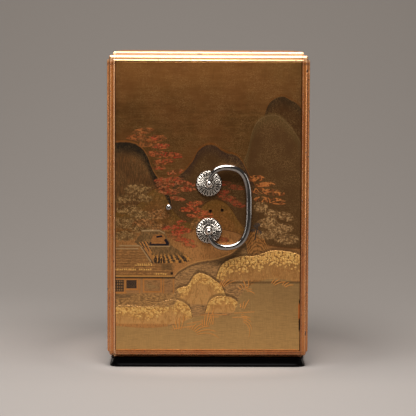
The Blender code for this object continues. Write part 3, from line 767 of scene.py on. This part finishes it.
def paintGround(art, lay, mix):
    # the plain ground: brown gold, lighter and redder towards the top left, the lighter top being a painted
    # highlight, olive at the right
    cloud = art.noise(0.018, 3, 0.55)
    art.color = mix(art.up.step(236, 52), (100, 66, 33), (142, 93, 48))
    lay(art.across.step(110, 90) * 0.7, (112, 82, 44))
    lay(cloud.step(0.42, 0.2) * 0.5, (128, 80, 42))
    lay(art.noise(0.26, 5, 0.72, (0.16, 1, 1)).step(0.4, 0.35) * 0.3, (164, 114, 62))
    lay(art.noise(0.3, 4, 0.7, (1, 0.14, 1)).step(0.52, 0.2) * 0.16, (72, 48, 26))
    sides = art.across.step(7, -7).most(art.across.step(178, 8))
    lay(sides * 0.22, (60, 42, 24))
    art.relief = cloud * 0.02


def paintWear(art, lay, mix):
    # the two pin holes under the handle, painted dark as the shade inside them, and the rubbed right edge
    for across, up in ((95.4, 141.15), (107, 142.05)):
        lay(art.tiers([(across, up, 1.9, 1.9)], 4), (10, 8, 12), 0.1)
    ragged = art.noise(0.5, 4, 0.7, (1, 0.35, 1)) * 2.2
    edge = (art.across + ragged).step(185.6, 0.5)
    lay(edge * art.up.band(36, 14, 4), (44, 24, 14), 0.3, -0.05)
    lay((art.across + ragged).step(184.9, 0.4) * art.up.band(40, 6, 3), (196, 110, 52), 0.6)


# What each layer of the picture passes on.
carried = {"Color": "Color", "Metal": 0, "Relief": 0}


def makeLayer(name, paint):
    # one stretch of the picture in a group of its own
    group, wire, close = makeGroup(name, carried, carried)
    art = Canvas(group, *wire.values())
    paint(art, art.lay, art.mix)
    return close({"Color": art.color, "Metal": art.metal, "Relief": art.relief})


def makePictureGroup():
    layers = [makeLayer("picture " + name, paint) for name, paint in (
        ("ground", paintGround), ("hills", paintHills), ("slopes", paintSlopes), ("trees", paintTrees),
        ("mounds", paintMounds), ("water", paintWater), ("houses", paintHouses), ("grass", paintGrass),
        ("wear", paintWear))]
    group, wire, close = makeGroup("landscape picture", {}, carried)
    state = {"Color": (118, 78, 42), "Metal": 0.7, "Relief": 0}
    for layer in layers:
        state = useGroup(group, layer, state)
    return close(state)


pictureGroup = makePictureGroup()
print("picture drawn with", len(pictureGroup.nodes), "nodes")


def makePictureLacquer():
    coat = Coat("picture lacquer", {"Roughness": 0.34, "Specular IOR Level": 0.12})
    color, metal, relief = useGroup(coat.tree, pictureGroup, {}).values()
    coat.color = color
    dust = coat.use(dustGroup, Grain=2600, Amount=0.35)
    cloth = coat.noise(900, stretch=(1, 1, 0.12)) + coat.noise(900, stretch=(0.12, 1, 1))
    # handling has brightened what stands proud and dulled the reds and blacks
    coat.lay(relief.step(0.02, 0.3) * metal * 0.2, (232, 184, 118))
    coat.lay(metal.step(0.5, -0.4) * 0.12, (40, 26, 18))
    coat.lay(dust["Specks"] * (metal * 0.7 + 0.3) * 0.28, (226, 176, 110))
    coat.lay(cloth.step(0.85, 0.3) * 0.1, (60, 38, 20))
    # the board's back is plain dark lacquer
    y = coat.add("SeparateXYZ", {"Vector": coat.place}, "Y")
    face = y.step(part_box("front_panel")[0].y + 0.0009, -0.0006)
    coat.color = coat.mix(face, coat.mix(dust["Cloud"], (40, 24, 15), (62, 38, 22)), coat.color)
    return coat.close({"Metallic": metal * face,
        "Roughness": coat.mixValue(metal, 0.42, 0.32) + dust["Specks"] * 0.06},
        relief + cloth * 0.006 + dust["Specks"] * 0.006, 0.001)


# Lines along the mouldings are (middle, half width, fade) and larger parts (edge, fade), in metres.
gold = {
    "brow": (0.307, 0.0012),  # the top moulding's face, from its foot up, painted paler as a highlight
    "crown": (0.3118, 0.0016),  # its upper step, painted darker as shade
    # a painted shadow line below the top moulding, and painted shade on the foot moulding
    "lintel": (0.3054, 0.0009, 0.0005),
    "sill": (0.0168, -0.0016),
    "bead": 0.0937,  # the beads beside the panel: a painted highlight on the left one, painted shade on the right one
    "beadLine": (0.0006, 0.0006),
    "beadClean": (0.0008, 0.0006),  # no dirt or painted shade on the left one
    "front": (-0.0965, -0.002),
    "edging": (-0.0975, -0.002),  # the mouldings of the front, and then their highest parts
    "proud": (-0.0985, -0.002),
    "behind": (-0.097, 0.004),  # the sides, top and back
    "coat": 0.6,
    "coatOnCrown": -0.15,
    "dustGrain": 2000,
    "flakeGrain": 850,  # larger flakes, only behind
    # old damage: place, reach and how dark each spot is
    "chips": [
        ((0.0985, -0.105, 0.2985), (0.001, 0.003, 0.003), 0.95),
        ((0.099, -0.1045, 0.0345), (0.0011, 0.003, 0.0038), 0.95),
        ((-0.009, -0.101, 0.315), (0.004, 0.003, 0.001), 0.5),
        ((0.0955, -0.107, 0.115), (0.0007, 0.003, 0.0045), 0.6),
        ((-0.099, -0.105, 0.07), (0.0008, 0.003, 0.0026), 0.6),
    ],
}


def makeGoldLacquer(kit):
    coat = Coat("gold lacquer", {"Metallic": 0.75, "Roughness": 0.34, "Coat Roughness": 0.15,
        "Coat IOR": 1.6})
    lay = coat.lay
    normal = coat.add("TexCoord", {}, "Normal")
    facing = coat.add("SeparateXYZ", {"Vector": normal})
    across, deep, level = (facing.out(axis).calc("ABSOLUTE") for axis in "XYZ")
    crest = (across * deep).most(deep * level).most(across * level) * 2
    x = coat.add("SeparateXYZ", {"Vector": coat.place})
    y, z = x.out("Y"), x.out("Z")
    brow = z.step(*kit["brow"]) * y.step(*kit["edging"])
    crown = z.step(*kit["crown"])
    lintel = z.band(*kit["lintel"]) * y.step(*kit["edging"])
    coat.set({"Coat Weight": crown * kit["coatOnCrown"] + kit["coat"]})
    shelter = coat.add("AmbientOcclusion", {"Distance": 0.004}, "AO", samples=8)
    clear = shelter.most(brow).most(x.band(-kit["bead"], *kit["beadClean"]))
    rub = coat.use(rubGroup, Open=clear, Crest=crest)
    dust = coat.use(dustGroup, Grain=kit["dustGrain"], Amount=0.4)
    front = y.step(*kit["front"])
    rubbed = rub["Rubbed"] * (front * 0.8 + 0.2).most(crest)
    coat.color = coat.mix(dust["Cloud"].step(0.3, 0.45) * (front * 0.5 + 0.5), (194, 111, 48), (205, 125, 57))
    # rounded crests of the mouldings lighter: rubbed wear and a painted highlight
    lay(crest.step(0.55, 0.5) * 0.35, (246, 184, 128))
    # painted highlight along the top moulding's face, painted shade on its upper step
    lay(brow * crown.flip() * 0.4, (252, 216, 170))
    lay(brow * crown * 0.8, (166, 136, 108))
    # painted shade on the foot moulding's lowest front, and a painted shadow line under the top moulding
    lay(z.step(*kit["sill"]) * y.step(*kit["proud"]) * 0.42, (116, 60, 26))
    lay(lintel * 0.5, (104, 56, 24))
    # painted highlight along the left bead, painted shade along the right bead
    for side, share, color in ((-1, 0.6, (255, 206, 160)), (1, 0.5, (120, 68, 34))):
        lay(x.band(side * kit["bead"], *kit["beadLine"]) * y.step(*kit["proud"]) * share, color)
    lay(dust["Specks"] * (front * -0.1 + 0.45), (236, 184, 116))
    flakes = coat.use(dustGroup, Grain=kit["flakeGrain"], Amount=0.22)["Specks"] * front.flip()
    lay(flakes * 0.38, (250, 206, 132))
    lay(rubbed * 0.2, (214, 140, 92))
    # dirt and painted shade in the hollows of the mouldings
    lay(rub["GrimeAndShade"] * 0.85, (74, 38, 16))
    chipped = rub["Nicks"]
    ragged = coat.noise(900, 3, 0.7) * 0.7
    for at, reach, dark in kit["chips"]:
        chipped = chipped.most((coat.ball(at, reach) - ragged * 0.5).step(0.05, 0.15) * dark)
    lay(chipped, (44, 26, 16))
    return coat.close({"Metallic": (rub["GrimeAndShade"].most(chipped) * 0.6).flip() * 0.8,
        "Roughness": rubbed * -0.03 + rub["GrimeAndShade"] * 0.2 + dust["Cloud"] * 0.05 + brow * 0.07
        + y.step(*kit["behind"]) * (level * 0.08 + 0.05) + 0.27},
        dust["Specks"] * 0.012 - chipped * 0.3 + dust["Cloud"] * 0.004, 0.001)


def makeBlackLacquer():
    coat = Coat("black lacquer", {"Roughness": 0.28, "Specular IOR Level": 0.025})
    rub = coat.use(rubGroup, Open=1, Crest=0)
    dust = coat.noise(700, 3, 0.7)
    coat.color = coat.mix(rub["Rubbed"] * 0.35, (6, 5, 5), (26, 21, 18))
    coat.lay(dust.step(0.62, 0.1) * 0.1, (70, 64, 58))
    return coat.close({"Roughness": rub["Rubbed"] * 0.2 + dust * 0.15 + 0.22}, dust, 0.00002)


# Name, bright and dull colour, how far the dull one clouds the bright one, least roughness, and the nodes
# whose ball gets a painted reflection, a pale ring round a dark middle.
silvers = {
    "silver": ("rosette silver", (206, 197, 186), (158, 145, 130), 0.35, 0.17, []),
    "handled": ("handled silver", (158, 153, 148), (112, 104, 97), 0.6, 0.07, []),
    "knob": ("knob silver", (170, 163, 156), (120, 111, 103), 0.5, 0.16, ["upper_post", "lower_post"]),
}
ballReach = (0.0036, 100, 0.0036)  # metres, for the painted reflection; the balls are read right through the post


def makeSilver(name, bright, dull, clouding, gloss, paintedReflectionHeads):
    coat = Coat(name, {"Metallic": 1, "Roughness": 0.2})
    shelter = coat.add("AmbientOcclusion", {"Distance": 0.0015}, "AO", samples=8)
    rub = coat.use(rubGroup, Open=shelter, Crest=0)
    film = coat.noise(240, 4, 0.6)
    hollow = coat.add("Attribute", {}, "Fac", attribute_name="hollow")
    tarnish = shelter.step(0.8, -0.5).most(hollow.step(0.1, 0.5))
    coat.color = coat.mix(film.step(0.45, 0.3) * clouding, bright, dull)
    coat.lay(tarnish * 0.96, (26, 20, 18))
    # painted reflection on each post's ball: a pale ring of reflected light round a dark middle
    for node in paintedReflectionHeads:
        low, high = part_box(node)
        ball = coat.ball(((low.x + high.x) / 2, 0, (low.z + high.z) / 2), ballReach)
        coat.lay(ball.step(0.1, 0.2) * 0.8, (232, 224, 214))
        coat.lay(ball.step(0.6, 0.14) * 0.8, (40, 34, 32))
    rough = film * 0.09 + tarnish * 0.25 + gloss
    return coat.close({"Roughness": rough}, film + rub["Nicks"] * -0.5, 0.00003)


finishes = {"gold": makeGoldLacquer(gold), "picture": makePictureLacquer(), "black": makeBlackLacquer()}
for label, kit in silvers.items():
    finishes[label] = makeSilver(*kit)
print("finishes made")


def addPiece(name, bm, node, body, finish):
    mesh = bpy.data.meshes.new(name)
    bmesh.ops.recalc_face_normals(bm, faces=bm.faces)
    for face in bm.faces:
        face.smooth = True
    bm.to_mesh(mesh)
    bm.free()
    mesh.materials.append(finishes[finish])
    piece = addObject(name, mesh)
    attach(piece, body)
    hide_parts(node)


# Node, body, slot, finish, and the angle in degrees from which an edge stays sharp.
copies = {
    "lacquered_carcase": ("carcase", "cabinet", "gold_lacquer", "gold", 34),
    "swing_bail": ("bail", "bail", "silver", "handled", 50),
    "upper_knob_post": ("upper_post", "cabinet", "silver", "knob", 40),
    "lower_knob_post": ("lower_post", "cabinet", "silver", "knob", 40),
    "round_rest_stud": ("rest_stud", "cabinet", "silver", "handled", 40),
}


def softCopy(name, node, body, slot, finish, crease):
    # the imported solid's own form with its curves shaded smooth and its corners kept
    bm = bmesh.new()
    bm.from_mesh(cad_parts[node].data)
    bmesh.ops.remove_doubles(bm, verts=bm.verts, dist=0.000004)
    bmesh.ops.dissolve_limit(bm, angle_limit=radians(0.5), verts=bm.verts, edges=bm.edges)
    for edge in bm.edges:
        edge.smooth = edge.calc_face_angle(pi) < radians(crease)
    addPiece(name, bm, node, body, finish)


for name, kit in copies.items():
    softCopy(name, *kit)
print("smooth pieces made")


rosette = {
    "petals": 23,
    "stepsPerPetal": 14,
    "stations": 22,  # rings from the rim to the hub
    "hole": 0.0018,
    "rim": 0.0012,  # thickness at the edge
    "hub": 0.0043,
    "hubRing": 0.0033,
    "dome": 1.9,  # how soon the dome rises from the rim
    "shoulder": 0.8,  # share of the depth that the dome reaches at the hub
    "innerWhorl": 0.0074,  # where the inner petals end
    "innerLift": 0.00022,
    "ridge": 0.00026,
    "hollow": 0.0004,
    "gap": 0.00055,
    "notchFrom": 0.97,  # share of the radius from which the rim draws in between the petals, and how far
    "notch": 0.022,
}


def smoothStep(value, low, high):
    share = min(1, max(0, (value - low) / (high - low)))
    return share * share * (3 - 2 * share)


def petalHeight(kit, radius, angle, outer):
    # how far a spoon petal's border stands up, its bowl lies down, and the gap beside it falls away
    whorl, shift = (outer, 0.5) if radius > kit["innerWhorl"] else (kit["innerWhorl"], 0)
    turn = (angle / tau * kit["petals"] + shift) % 1 - 0.5
    arc = tau * radius / kit["petals"]
    edge = 1 - abs(turn) * 2  # 0 in the gap, 1 on the petal's middle line
    half = tau * whorl / kit["petals"] / 2
    if radius > whorl - half:
        edge = 1 - Vector((radius - whorl + half, turn * arc)).length / half
    lift = kit["ridge"] * max(0, 1 - ((edge - 0.36) / 0.3) ** 2)
    bowl = smoothStep(edge, 0.52, 0.7)
    gap = smoothStep(edge, 0.18, 0)
    return lift - kit["hollow"] * bowl - kit["gap"] * gap, max(bowl, gap)


def makeRosette(kit, name, node):
    low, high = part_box(node)
    outer = (high.x - low.x) / 2
    depth = high.y - low.y
    bm = bmesh.new()
    hollow = bm.verts.layers.float.new("hollow")
    profile = [(kit["hole"], 0), (outer * 0.6, 0), (outer - 0.0002, 0), (outer, kit["rim"] * 0.4)]
    for station in range(kit["stations"] + 1):
        share = station / kit["stations"]
        radius = outer - 0.00005 - (outer - kit["hub"]) * share
        rise = 1 - (1 - share) ** kit["dome"]
        profile.append((radius, kit["rim"] + (depth * kit["shoulder"] - kit["rim"]) * rise))
    profile += [(kit["hub"] - 0.0003, depth * 0.95), (kit["hubRing"] + 0.0002, depth),
                (kit["hubRing"] - 0.0004, depth), (kit["hubRing"] - 0.0009, depth * 0.93),
                (kit["hole"], depth * 0.9)]
    verts = [bm.verts.new((radius, -height, 0)) for radius, height in profile]
    edges = [bm.edges.new(pair) for pair in zip(verts, verts[1:] + verts[:1])]
    bmesh.ops.spin(bm, geom=verts + edges, axis=(0, 1, 0), cent=(0, 0, 0), angle=tau,
        steps=kit["petals"] * kit["stepsPerPetal"], use_merge=True)
    bmesh.ops.remove_doubles(bm, verts=bm.verts, dist=0.000002)
    rimStart = outer * kit["notchFrom"]
    for vert in bm.verts:
        radius = vert.co.xz.length
        if vert.co.y < -kit["rim"] * 0.9 and kit["hub"] - 0.00002 < radius:
            angle = vert.co.xz.angle_signed(Vector((0, 1)))
            lift, dark = petalHeight(kit, radius, angle, outer)
            if radius < kit["innerWhorl"]:
                lift += kit["innerLift"]
            fade = smoothStep(radius, kit["hub"], kit["hub"] + 0.0006)
            vert.co.y -= lift * fade
            vert[hollow] = dark * fade
            if radius > rimStart:
                # the rim follows the petals' rounded ends
                pull = 1 - kit["notch"] * smoothStep(dark, 0.3, 1) * smoothStep(radius, rimStart, outer)
                vert.co.x *= pull
                vert.co.z *= pull
    bmesh.ops.translate(bm, verts=bm.verts, vec=((low.x + high.x) / 2, high.y, (low.z + high.z) / 2))
    addPiece(name, bm, node, "cabinet", "silver")


makeRosette(rosette, "upper_flower_rosette", "upper_rosette")
makeRosette(rosette, "lower_flower_rosette", "lower_rosette")
print("rosettes made")

for node, finish in {"front_panel": "picture", "plinth": "black"}.items():
    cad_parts[node].material_slots[0].material = finishes[finish]
